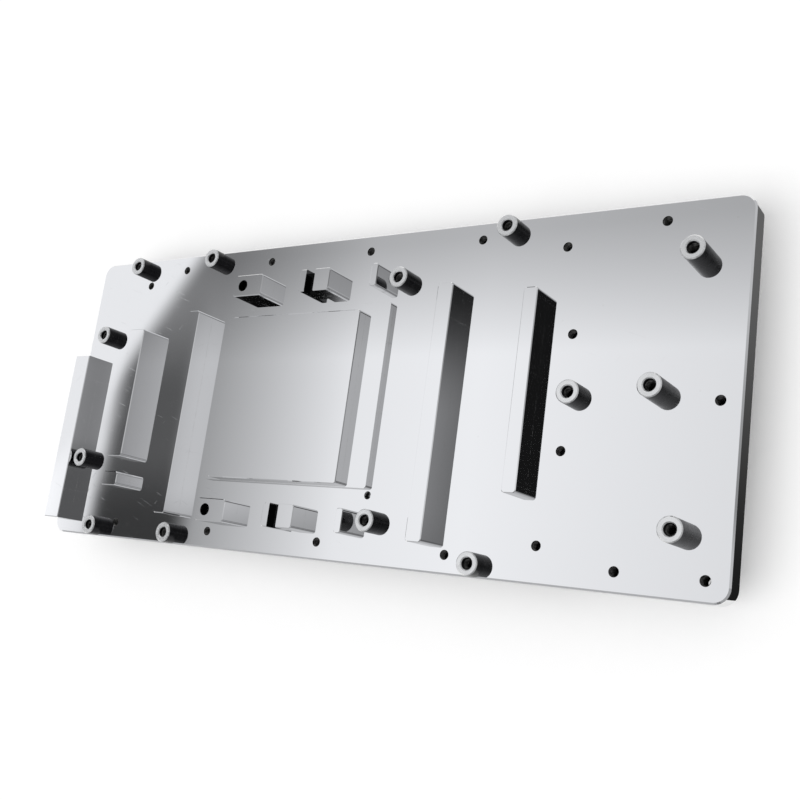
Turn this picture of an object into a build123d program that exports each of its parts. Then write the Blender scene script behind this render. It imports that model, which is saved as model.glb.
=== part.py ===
"""Full-cover liquid cold plate for an accelerator card, modelled in millimetres.

The plate lies on its cover with the contact side up. X runs along the card towards its tail,
Y across the card, and Z out of the contact face. The origin is the middle of the footprint.
"""

import os
from math import floor

from build123d import *

# Outline of the metal plate
plate_length = 264.0
plate_width = 110.0
plate_thickness = 7.2
plate_corner = 4.5
plate_edge_break = 0.5

# Outline of the card on which the places below were measured. Each place keeps its share of the
# plate's length and width, so the layout spreads or closes up with the plate.
measured_card = (264.0, 110.0)

# Cover on the coolant side, and how far its ends stay inside the plate's ends
cover_thickness = 9.0
cover_front_inset = 17.5
cover_tail_inset = 42.5
cover_side_inset = 1.5
cover_corner = 5.0
cover_edge_break = 1.2

# Processor pad: its middle, its footprint and its height over the contact face
chip_x = -21.0
chip_y = -1.8
chip_pad_length = 57.0
chip_pad_width = 58.0
chip_pad_height = 5.0

# Low apron round the processor pad: height, and what it shows beyond each side of the pad
apron_height = 1.75
apron_front = 4.0
apron_tail = 9.7
apron_upper = 3.1
apron_lower = 0.5
apron_hole_diameter = 2.6
apron_hole_depth = 1.6
apron_hole_drop = 1.9

# Bars that meet the power stages: tail-side wall, lower end, upper end, height
bar_width = 5.6
near_bar_wall = 43.3
near_bar_low = -46.9
near_bar_high = 33.6
tail_bar_wall = 72.6
tail_bar_width = 4.6
tail_bar_low = -30.8
tail_bar_high = 30.2
front_bar_wall = -65.2
front_bar_low = -45.0
front_bar_high = 30.0
front_bar_height = 7.0
wide_bar_wall = -93.9
wide_bar_width = 8.0
wide_bar_low = -25.3
wide_bar_high = 24.3
wide_bar_gap = 5.8
wide_bar_stub = 5.2
bar_height = 6.6

# Bar that runs flush with the front end of the plate
end_bar_width = 8.0
end_bar_low = -50.0
end_bar_high = 14.6
end_bar_height = 6.1

# Memory islands: one row above and one below the processor pad
island_length = 13.2
island_width = 7.9
island_height = 6.5
island_pitch = 30.4
first_island_offset = -16.0
upper_row_y = 38.4
lower_row_y = -42.4
relief_slot = 3.9
relief_rib = 2.8
rib_gap = 3.6
relief_depth = 4.0
relief_bore = 4.2

# Form edges
form_corner = 1.0
form_break = 0.25

# Standoffs for the circuit board: M3 bore, M4 stud
standoff_diameter = 7.0
standoff_bore = 3.0
standoff_mouth = 4.1
standoff_chamfer = 0.3
short_standoff = 4.8
tall_standoff = 7.7
standoff_floor = 0.8
stud_diameter = 3.9
stud_length = 3.8
thread_clearance = 0.05
tap_tip = 0.7

# Where the standoffs stand: insets from the plate's edges or the apron's, the rest from the middle
standoff_row_inset = 3.6
standoff_row_x = (-107.0, -66.5, 58.6)
chip_standoff_gap = 3.3
chip_standoff_upper = 37.6
chip_standoff_lower = -41.5
middle_standoff_x = 84.3
middle_standoff_y = -1.0
tail_standoff_inset = 14.1
tail_standoff_y = 37.8
centre_standoff_inset = 22.8
front_standoff_inset = 12.3
front_standoff_y = (23.5, -26.0)

# Cover screws: M3 socket screws whose threads end in open holes of the plate
screw_diameter = 2.9
screw_length = 10.0
screw_head_diameter = 5.5
screw_head_height = 2.6
screw_socket = 2.0
screw_socket_depth = 1.4
screw_hole = 3.4
head_bore = 6.2
head_recess = 3.0
hole_row_inset = 5.7
upper_screw_x = (-83.5, -40.0, 4.5, 48.0)
lower_screw_x = (-97.5, -49.5, -0.5, 48.0)
corner_screw_inset = 12.0
corner_screw_side_inset = 10.7
inner_screw_inset = 7.5
inner_screw_y = 17.2
blind_screw_inset = 6.3
blind_screw_y = 16.0

# Free threaded holes in the plate's bare tail
tail_hole_x_upper = 107.5
tail_hole_x_lower = 101.0
corner_hole_inset = 6.5
middle_hole_inset = 6.0
middle_hole_y = -2.5

# Coolant ports, G 1/4
port_bore = 11.8
port_face = 20.0
port_face_depth = 0.8
outlet_inset = 15.0

# Seal between cover and plate
seal_cord = 2.2
seal_depth = 1.6
seal_gap = 0.15
seal_end_inset = 13.5
seal_side_inset = 10.0
seal_corner = 9.0
seal_land = 2.6

# Coolant passages in the back of the plate
header_depth = 2.2
channel_depth = 4.6
channel_width = 3.4
channel_pitch = 5.2
channel_end = 4.0
chamber_wall = 3.5
front_chamber_gap = 7.5
collector_width = 6.8

# Fin field behind the processor pad, and the jet plate over it
fin_margin = 2.0
fin_gap = 0.8
fin_pitch = 1.6
fin_height = 5.0
jet_plate_thickness = 1.0
jet_plate_ledge = 2.5
jet_clearance = 0.1
jet_slit = 2.4
jet_slit_margin = 2.5
feed_width = 8.4
feed_depth = 5.4
feed_overlap = 12.0

# Levels and edges that follow from the sizes above
along = plate_length / measured_card[0]
across = plate_width / measured_card[1]
back_z = cover_thickness
face_z = back_z + plate_thickness
plate_front = -plate_length / 2
plate_tail = plate_length / 2
plate_side = plate_width / 2
cover_front = plate_front + cover_front_inset
cover_tail = plate_tail - cover_tail_inset
cover_side = plate_side - cover_side_inset
cover_length = cover_tail - cover_front
cover_x = (cover_front + cover_tail) / 2
chip_middle = (chip_x * along, chip_y * across)
chip_front = chip_middle[0] - chip_pad_length / 2
chip_tail = chip_middle[0] + chip_pad_length / 2
chip_low = chip_middle[1] - chip_pad_width / 2
chip_high = chip_middle[1] + chip_pad_width / 2
seal_front = cover_front + seal_end_inset
seal_tail = cover_tail - seal_end_inset
seal_side = cover_side - seal_side_inset
seal_x = (seal_front + seal_tail) / 2
groove_width = seal_cord + 2 * seal_gap
wet_front = seal_front + groove_width / 2 + seal_land
wet_tail = seal_tail - groove_width / 2 - seal_land
fin_field_length = chip_pad_length - 2 * fin_margin
fin_field_width = chip_pad_width - 2 * fin_margin
fin_front = chip_middle[0] - fin_field_length / 2
fin_tail = chip_middle[0] + fin_field_length / 2
fin_low = chip_middle[1] - fin_field_width / 2
fin_high = chip_middle[1] + fin_field_width / 2
collector_low = fin_low - collector_width
collector_high = fin_high + collector_width
front_chamber_end = chip_front - front_chamber_gap
tail_chamber_start = fin_tail + jet_plate_ledge + chamber_wall
inlet = ((wet_front + front_chamber_end) / 2, chip_middle[1])
outlet = (wet_tail - outlet_inset, chip_middle[1])
stud_hole = stud_diameter + 2 * thread_clearance
thread_hole = screw_diameter + 2 * thread_clearance
standoff_row_y = plate_side - standoff_row_inset
hole_row_y = plate_side - hole_row_inset
corner_screw_y = plate_side - corner_screw_side_inset
chip_standoff_x = chip_tail + apron_tail + chip_standoff_gap
wide_stub_high = wide_bar_low - wide_bar_gap

standoffs = {
    "tail_upper": (plate_tail - tail_standoff_inset, tail_standoff_y * across, tall_standoff),
    "tail_lower": (plate_tail - tail_standoff_inset, -tail_standoff_y * across, tall_standoff),
    "tail_centre": (plate_tail - centre_standoff_inset, 0.0, tall_standoff),
    "middle": (middle_standoff_x * along, middle_standoff_y * across, short_standoff),
    "chip_upper": (chip_standoff_x, chip_standoff_upper * across, short_standoff),
    "chip_lower": (chip_standoff_x, chip_standoff_lower * across, short_standoff),
    "end_upper": (plate_front + front_standoff_inset, front_standoff_y[0] * across, short_standoff),
    "end_lower": (plate_front + front_standoff_inset, front_standoff_y[1] * across, short_standoff),
}
for row_number, row_x in enumerate(standoff_row_x, start=1):
    standoffs[f"upper_{row_number}"] = (row_x * along, standoff_row_y, short_standoff)
    standoffs[f"lower_{row_number}"] = (row_x * along, -standoff_row_y, short_standoff)

through_screws = {f"upper_{n}": (x * along, hole_row_y) for n, x in enumerate(upper_screw_x, start=1)}
through_screws |= {f"lower_{n}": (x * along, -hole_row_y) for n, x in enumerate(lower_screw_x, start=1)}
through_screws |= {
    "front_upper": (cover_front + corner_screw_inset, corner_screw_y),
    "tail_upper": (cover_tail - corner_screw_inset, corner_screw_y),
    "tail_lower": (cover_tail - corner_screw_inset, -corner_screw_y),
    "inner_upper": (cover_tail - inner_screw_inset, inner_screw_y * across),
    "inner_lower": (cover_tail - inner_screw_inset, -inner_screw_y * across),
}
blind_screws = {
    "front_inner_upper": (cover_front + blind_screw_inset, blind_screw_y * across),
    "front_inner_lower": (cover_front + blind_screw_inset, -blind_screw_y * across),
}
cover_screws = through_screws | blind_screws
tail_holes = [
    (tail_hole_x_upper * along, hole_row_y),
    (tail_hole_x_lower * along, -hole_row_y),
    (plate_tail - corner_hole_inset, -hole_row_y),
    (plate_tail - middle_hole_inset, middle_hole_y * across),
]
standoff_places = [(x, y) for x, y, _ in standoffs.values()]


def span(front: float, tail: float, low: float, high: float) -> tuple:
    """Middle and size of a rectangle from its four edges."""
    return ((front + tail) / 2, (low + high) / 2), tail - front, high - low


def bar(wall_x: float, width: float, low_y: float, high_y: float) -> tuple:
    """Rectangle of a bar from the places of its tail-side wall and its two ends on the card."""
    wall = wall_x * along
    return span(wall - width, wall, low_y * across, high_y * across)


# Raised forms on the contact face: rectangle and height
raised_forms = [
    (span(chip_front, chip_tail, chip_low, chip_high), chip_pad_height),
    (bar(near_bar_wall, bar_width, near_bar_low, near_bar_high), bar_height),
    (bar(tail_bar_wall, tail_bar_width, tail_bar_low, tail_bar_high), bar_height),
    (bar(front_bar_wall, bar_width, front_bar_low, front_bar_high), front_bar_height),
    (bar(wide_bar_wall, wide_bar_width, wide_bar_low, wide_bar_high), bar_height),
    (bar(wide_bar_wall, wide_bar_width, wide_stub_high - wide_bar_stub, wide_stub_high), bar_height),
]
first_island_wall = chip_middle[0] + first_island_offset
island_walls = [first_island_wall, first_island_wall + island_pitch]
island_rows = [upper_row_y * across, lower_row_y * across]
for row_y in island_rows:
    for wall_x in island_walls:
        low, high = row_y - island_width / 2, row_y + island_width / 2
        raised_forms.append((span(wall_x - island_length, wall_x, low, high), island_height))
    # beside the processor standoff only the island's outer rib has room
    rib_tail = chip_standoff_x - standoff_diameter / 2 - rib_gap
    rib = span(rib_tail - relief_rib, rib_tail, row_y - island_width / 2, row_y + island_width / 2)
    raised_forms.append((rib, island_height))

apron = span(chip_front - apron_front, chip_tail + apron_tail, chip_low - apron_lower, chip_high + apron_upper)
end_bar = span(plate_front, plate_front + end_bar_width, end_bar_low * across, end_bar_high * across)
front_chamber = span(wet_front, front_chamber_end, collector_low, collector_high)
tail_chamber = span(tail_chamber_start, wet_tail, collector_low, collector_high)
upper_collector = span(fin_front, tail_chamber_start, fin_high, collector_high)
lower_collector = span(fin_front, tail_chamber_start, collector_low, fin_low)
fin_count = floor((fin_field_length - fin_gap) / fin_pitch) + 1
feed_start = front_chamber_end - feed_overlap
feed_end = fin_tail - jet_slit_margin
feed_x = (feed_start + feed_end) / 2

with BuildPart() as base_plate:
    with BuildSketch(Plane.XY.offset(back_z)):
        RectangleRounded(plate_length, plate_width, plate_corner)
    extrude(amount=plate_thickness)
    chamfer(base_plate.faces().sort_by(Axis.Z)[-1].edges(), length=plate_edge_break)
    # the end bar stands on the very edge and carries the plate's end wall up with it
    with BuildSketch(Plane.XY.offset(back_z)):
        with Locations(end_bar[0]):
            Rectangle(end_bar[1], end_bar[2])
    extrude(amount=plate_thickness + end_bar_height)
    with BuildSketch(Plane.XY.offset(face_z)):
        with Locations(apron[0]):
            RectangleRounded(apron[1], apron[2], form_corner)
    extrude(amount=apron_height)
    for (middle, length, width), height in raised_forms:
        with BuildSketch(Plane.XY.offset(face_z)):
            with Locations(middle):
                RectangleRounded(length, width, form_corner)
        extrude(amount=height)
    chamfer(
        [
            edge
            for face in base_plate.faces().filter_by(Axis.Z)
            if face.center().Z > face_z + apron_height + form_break
            for edge in face.edges()
        ],
        length=form_break,
    )
    # relief across each memory island for the small parts between two memory chips
    for row_y in island_rows:
        slot_x = island_walls[-1] - island_length + relief_rib + relief_slot / 2
        with BuildSketch(Plane.XY.offset(face_z + island_height - relief_depth)):
            with Locations((slot_x, row_y)):
                Rectangle(relief_slot, island_width)
        extrude(amount=relief_depth, mode=Mode.SUBTRACT)
        bore_x = island_walls[0] - island_length + relief_rib + relief_bore / 3
        with Locations((bore_x, row_y, face_z + island_height)):
            Hole(relief_bore / 2, depth=relief_depth)
    with Locations((chip_tail + apron_tail, chip_low - apron_lower - apron_hole_drop, face_z)):
        Hole(apron_hole_diameter / 2, depth=apron_hole_depth)
    # threaded holes: blind under the standoffs, open for the screws and in the tail
    with Locations(*[(x, y, face_z) for x, y in standoff_places]):
        Hole(stud_hole / 2, depth=stud_length + tap_tip)
    with BuildSketch(Plane.XY.offset(back_z)):
        with Locations(*through_screws.values(), *tail_holes):
            Circle(thread_hole / 2)
    extrude(amount=plate_thickness, mode=Mode.SUBTRACT)
    with BuildSketch(Plane.XY.offset(back_z)):
        with Locations(*blind_screws.values()):
            Circle(thread_hole / 2)
    extrude(amount=head_recess + screw_length + tap_tip - cover_thickness, mode=Mode.SUBTRACT)
    # coolant passages, cut from the back
    for middle, length, width in (front_chamber, tail_chamber):
        with BuildSketch(Plane.XY.offset(back_z)):
            with Locations(middle):
                RectangleRounded(length, width, channel_width / 2)
        extrude(amount=header_depth, mode=Mode.SUBTRACT)
        with BuildSketch(Plane.XY.offset(back_z)):
            with Locations(middle):
                with GridLocations(channel_pitch, 1, floor((length - channel_end) / channel_pitch), 1):
                    SlotOverall(width - channel_end, channel_width, rotation=90)
        extrude(amount=channel_depth, mode=Mode.SUBTRACT)
    for middle, length, width in (upper_collector, lower_collector):
        with BuildSketch(Plane.XY.offset(back_z)):
            with Locations(middle):
                Rectangle(length, width)
        extrude(amount=channel_depth, mode=Mode.SUBTRACT)
    with BuildSketch(Plane.XY.offset(back_z)):
        with Locations(chip_middle):
            Rectangle(fin_field_length + 2 * jet_plate_ledge, fin_field_width)
    extrude(amount=jet_plate_thickness, mode=Mode.SUBTRACT)
    with BuildSketch(Plane.XY.offset(back_z)):
        with Locations(chip_middle):
            with GridLocations(fin_pitch, 1, fin_count, 1):
                Rectangle(fin_gap, fin_field_width)
    extrude(amount=jet_plate_thickness + fin_height, mode=Mode.SUBTRACT)
base_plate.part.label = "base_plate"

with BuildPart() as jet_plate:
    with BuildSketch(Plane.XY.offset(back_z)):
        with Locations(chip_middle):
            Rectangle(
                fin_field_length + 2 * jet_plate_ledge - 2 * jet_clearance,
                fin_field_width - 2 * jet_clearance,
            )
            SlotOverall(fin_field_length - 2 * jet_slit_margin, jet_slit, mode=Mode.SUBTRACT)
    extrude(amount=jet_plate_thickness)
jet_plate.part.label = "jet_plate"

with BuildPart() as back_cover:
    with BuildSketch():
        with Locations((cover_x, 0)):
            RectangleRounded(cover_length, 2 * cover_side, cover_corner)
    extrude(amount=cover_thickness)
    chamfer(back_cover.faces().sort_by(Axis.Z)[0].edges(), length=cover_edge_break)
    # seal groove in the face that meets the plate
    with BuildSketch(Plane.XY.offset(back_z - seal_depth)):
        with Locations((seal_x, 0)):
            RectangleRounded(
                seal_tail - seal_front + groove_width,
                2 * seal_side + groove_width,
                seal_corner + groove_width / 2,
            )
            RectangleRounded(
                seal_tail - seal_front - groove_width,
                2 * seal_side - groove_width,
                seal_corner - groove_width / 2,
                mode=Mode.SUBTRACT,
            )
    extrude(amount=seal_depth, mode=Mode.SUBTRACT)
    # feed channel that carries the coolant from the front chamber to the jet slit
    with BuildSketch(Plane.XY.offset(back_z - feed_depth)):
        with Locations((feed_x, chip_middle[1])):
            SlotOverall(feed_end - feed_start, feed_width)
    extrude(amount=feed_depth, mode=Mode.SUBTRACT)
    with BuildSketch():
        with Locations(inlet, outlet):
            Circle(port_face / 2)
    extrude(amount=port_face_depth, mode=Mode.SUBTRACT)
    with BuildSketch():
        with Locations(inlet, outlet):
            Circle(port_bore / 2)
    extrude(amount=cover_thickness, mode=Mode.SUBTRACT)
    with BuildSketch():
        with Locations(*cover_screws.values()):
            Circle(screw_hole / 2)
    extrude(amount=cover_thickness, mode=Mode.SUBTRACT)
    with BuildSketch():
        with Locations(*cover_screws.values()):
            Circle(head_bore / 2)
    extrude(amount=head_recess, mode=Mode.SUBTRACT)
back_cover.part.label = "back_cover"

with BuildPart() as cover_seal:
    with BuildSketch(Plane.XY.offset(back_z - seal_depth)):
        with Locations((seal_x, 0)):
            RectangleRounded(
                seal_tail - seal_front + seal_cord,
                2 * seal_side + seal_cord,
                seal_corner + seal_cord / 2,
            )
            RectangleRounded(
                seal_tail - seal_front - seal_cord,
                2 * seal_side - seal_cord,
                seal_corner - seal_cord / 2,
                mode=Mode.SUBTRACT,
            )
    extrude(amount=seal_depth)
cover_seal.part.label = "cover_seal"

finished = [base_plate.part, jet_plate.part, back_cover.part, cover_seal.part]

for name, (x, y, height) in standoffs.items():
    with BuildPart() as standoff:
        # half section, turned about the standoff's own axis
        with BuildSketch(Plane((x, y, face_z), x_dir=(1, 0, 0), z_dir=(0, -1, 0))):
            with BuildLine():
                Polyline(
                    (0, -stud_length),
                    (stud_diameter / 2, -stud_length),
                    (stud_diameter / 2, 0),
                    (standoff_diameter / 2, 0),
                    (standoff_diameter / 2, height - standoff_chamfer),
                    (standoff_diameter / 2 - standoff_chamfer, height),
                    (standoff_mouth / 2, height),
                    (standoff_bore / 2, height - (standoff_mouth - standoff_bore) / 2),
                    (standoff_bore / 2, standoff_floor),
                    (0, standoff_floor),
                    close=True,
                )
            make_face()
        revolve(axis=Axis((x, y, face_z), (0, 0, 1)))
    standoff.part.label = f"standoff_{name}"
    finished.append(standoff.part)

for name, (x, y) in cover_screws.items():
    with BuildPart() as screw:
        with BuildSketch(Plane.XY.offset(head_recess - screw_head_height)):
            with Locations((x, y)):
                Circle(screw_head_diameter / 2)
                RegularPolygon(screw_socket / 2, 6, major_radius=False, mode=Mode.SUBTRACT)
        extrude(amount=screw_socket_depth)
        with BuildSketch(Plane.XY.offset(head_recess - screw_head_height + screw_socket_depth)):
            with Locations((x, y)):
                Circle(screw_head_diameter / 2)
        extrude(amount=screw_head_height - screw_socket_depth)
        with BuildSketch(Plane.XY.offset(head_recess)):
            with Locations((x, y)):
                Circle(screw_diameter / 2)
        extrude(amount=screw_length)
    screw.part.label = f"cover_screw_{name}"
    finished.append(screw.part)

os.makedirs("parts", exist_ok=True)
for piece in finished:
    export_step(piece, f"parts/{piece.label}.step")
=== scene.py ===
"""Studio, finishes and fine threads of a full-cover cold plate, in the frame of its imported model.

The plate lies on its cover with the contact side up. X runs along the card towards its tail, Y across
the card and Z out of the contact face. Lengths are in metres unless a name says otherwise.
"""

import logging
import math
from dataclasses import dataclass, field
from enum import Enum

import bpy
from mathutils import Matrix, Quaternion, Vector


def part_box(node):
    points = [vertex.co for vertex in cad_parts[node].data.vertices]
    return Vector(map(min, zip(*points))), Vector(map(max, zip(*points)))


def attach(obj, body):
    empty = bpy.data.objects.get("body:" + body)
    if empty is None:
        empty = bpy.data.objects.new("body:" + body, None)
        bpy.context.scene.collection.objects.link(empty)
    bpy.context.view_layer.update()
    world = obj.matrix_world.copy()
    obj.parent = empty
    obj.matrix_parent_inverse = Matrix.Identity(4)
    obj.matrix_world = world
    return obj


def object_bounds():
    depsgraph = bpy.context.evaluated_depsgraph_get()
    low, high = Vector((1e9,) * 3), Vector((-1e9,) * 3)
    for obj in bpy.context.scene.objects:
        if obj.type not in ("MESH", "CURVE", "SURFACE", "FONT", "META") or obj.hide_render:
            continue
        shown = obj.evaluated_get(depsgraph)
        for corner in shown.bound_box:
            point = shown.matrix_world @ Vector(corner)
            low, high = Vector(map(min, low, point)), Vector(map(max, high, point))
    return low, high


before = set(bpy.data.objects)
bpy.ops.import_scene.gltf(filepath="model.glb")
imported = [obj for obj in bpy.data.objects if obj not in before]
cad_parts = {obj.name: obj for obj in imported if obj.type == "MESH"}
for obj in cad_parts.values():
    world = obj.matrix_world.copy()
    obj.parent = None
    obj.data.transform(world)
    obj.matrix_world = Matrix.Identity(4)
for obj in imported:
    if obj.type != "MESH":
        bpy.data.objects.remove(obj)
cad_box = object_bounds()

Socket = bpy.types.NodeSocket
Source = Socket | float | tuple

# The brightest grey on a screen
FULL_TONE = 255.0

log = logging.getLogger("cold_plate")


def select_only(piece: bpy.types.Object) -> None:
    """Make one piece the active one, with nothing else selected.

    Args:
        piece: The piece that the next operators work on.
    """
    bpy.ops.object.select_all(action="DESELECT")
    piece.select_set(True)
    bpy.context.view_layer.objects.active = piece


def dress(piece: bpy.types.Object, material: bpy.types.Material) -> None:
    """Give a piece one material all over.

    Args:
        piece: The piece to dress.
        material: Its material.
    """
    if not piece.material_slots:
        piece.data.materials.append(material)
    for material_slot in piece.material_slots:
        material_slot.material = material


def linear_tone(level: float) -> float:
    """Brightness of a grey written as 0 to 255 on a screen.

    Args:
        level: The grey on the screen.

    Returns:
        The same grey as a linear brightness.
    """
    share = level / FULL_TONE
    # The standard curve of a screen is straight at its dark end and a power law above it
    if share <= 0.04045:
        return share / 12.92
    return ((share + 0.055) / 1.055) ** 2.4


class ShaderSketch:
    """A short way to add and join the nodes of one shader tree."""

    def __init__(self, tree: bpy.types.NodeTree) -> None:
        """Keep the tree that nodes are added to.

        Args:
            tree: The node tree of a material, a world or a group.
        """
        self.tree = tree

    def add(self, kind: str, **settings: object) -> bpy.types.Node:
        """Add a node and set its own properties.

        Args:
            kind: The node's type name.
            settings: Properties of the node by name.

        Returns:
            The new node.
        """
        node = self.tree.nodes.new(kind)
        for name, value in settings.items():
            setattr(node, name, value)
        return node

    def feed(self, socket: Socket, source: Source) -> None:
        """Join a socket to another one, or give it a constant.

        Args:
            socket: The input to fill.
            source: An output socket or a constant.
        """
        if isinstance(source, Socket):
            self.tree.links.new(source, socket)
        else:
            socket.default_value = source

    def calc(self, operation: str, *values: Source) -> Socket:
        """Do one sum on numbers.

        Args:
            operation: Name of the math operation.
            values: Its inputs in order.

        Returns:
            The result.
        """
        node = self.add("ShaderNodeMath", operation=operation)
        for socket, value in zip(node.inputs, values):
            self.feed(socket, value)
        return node.outputs[0]

    def step(
        self, value: Source, low: Source, high: Source, start: Source = 0.0, end: Source = 1.0
    ) -> Socket:
        """Go softly from start to end while a value goes from low to high.

        Args:
            value: The value that is watched.
            low: Where the change begins.
            high: Where the change ends.
            start: Result below low.
            end: Result above high.

        Returns:
            The result's socket.
        """
        node = self.add("ShaderNodeMapRange", interpolation_type="SMOOTHSTEP")
        for socket, source in zip(node.inputs, (value, low, high, start, end)):
            self.feed(socket, source)
        return node.outputs[0]

    def mix(self, share: Source, first: Source, second: Source) -> Socket:
        """Blend two numbers.

        Args:
            share: How much of the second one is taken.
            first: Result at a share of 0.
            second: Result at a share of 1.

        Returns:
            The blend.
        """
        node = self.add("ShaderNodeMix", data_type="FLOAT")
        self.feed(node.inputs["Factor"], share)
        self.feed(node.inputs["A"], first)
        self.feed(node.inputs["B"], second)
        return node.outputs["Result"]

    def mix_colour(self, share: Source, first: Source, second: Source) -> Socket:
        """Blend two colours.

        Args:
            share: How much of the second one is taken.
            first: Colour at a share of 0.
            second: Colour at a share of 1.

        Returns:
            The blended colour.
        """
        node = self.add("ShaderNodeMix", data_type="RGBA")
        self.feed(node.inputs["Factor"], share)
        self.feed(node.inputs[6], first)
        self.feed(node.inputs[7], second)
        return node.outputs[2]

    def noise(self, place: Source, scale: Source, detail: float = 2.0) -> Socket:
        """Smooth noise from 0 to 1.

        Args:
            place: Where the noise is read.
            scale: Its waves per metre.
            detail: How many finer layers it has.

        Returns:
            The noise value.
        """
        node = self.add("ShaderNodeTexNoise")
        self.feed(node.inputs["Vector"], place)
        self.feed(node.inputs["Scale"], scale)
        node.inputs["Detail"].default_value = detail
        return node.outputs["Fac"]

    def parts(self, vector: Socket) -> tuple:
        """Split a vector.

        Args:
            vector: The vector to split.

        Returns:
            Its x, y and z sockets.
        """
        node = self.add("ShaderNodeSeparateXYZ")
        self.feed(node.inputs[0], vector)
        return node.outputs[0], node.outputs[1], node.outputs[2]

    def vector(self, x: Source, y: Source, z: Source) -> Socket:
        """Join three numbers to a vector.

        Args:
            x: First part.
            y: Second part.
            z: Third part.

        Returns:
            The vector.
        """
        node = self.add("ShaderNodeCombineXYZ")
        for socket, source in zip(node.inputs, (x, y, z)):
            self.feed(socket, source)
        return node.outputs[0]

    def object_place(self) -> Socket:
        """Place on the object, which is also its place in the frame."""
        return self.add("ShaderNodeTexCoord").outputs["Object"]


class Effect(Enum):
    """Surface effects that several finishes share."""

    EDGE_WEAR = "edge wear"
    POLISH_HAZE = "polish haze"
    HAIRLINES = "hairlines"
    TURNED_RINGS = "turned rings"
    MILL_MARKS = "mill marks"
    SPECKS = "specks"
    RECESS_SHADE = "recess shade"


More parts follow.
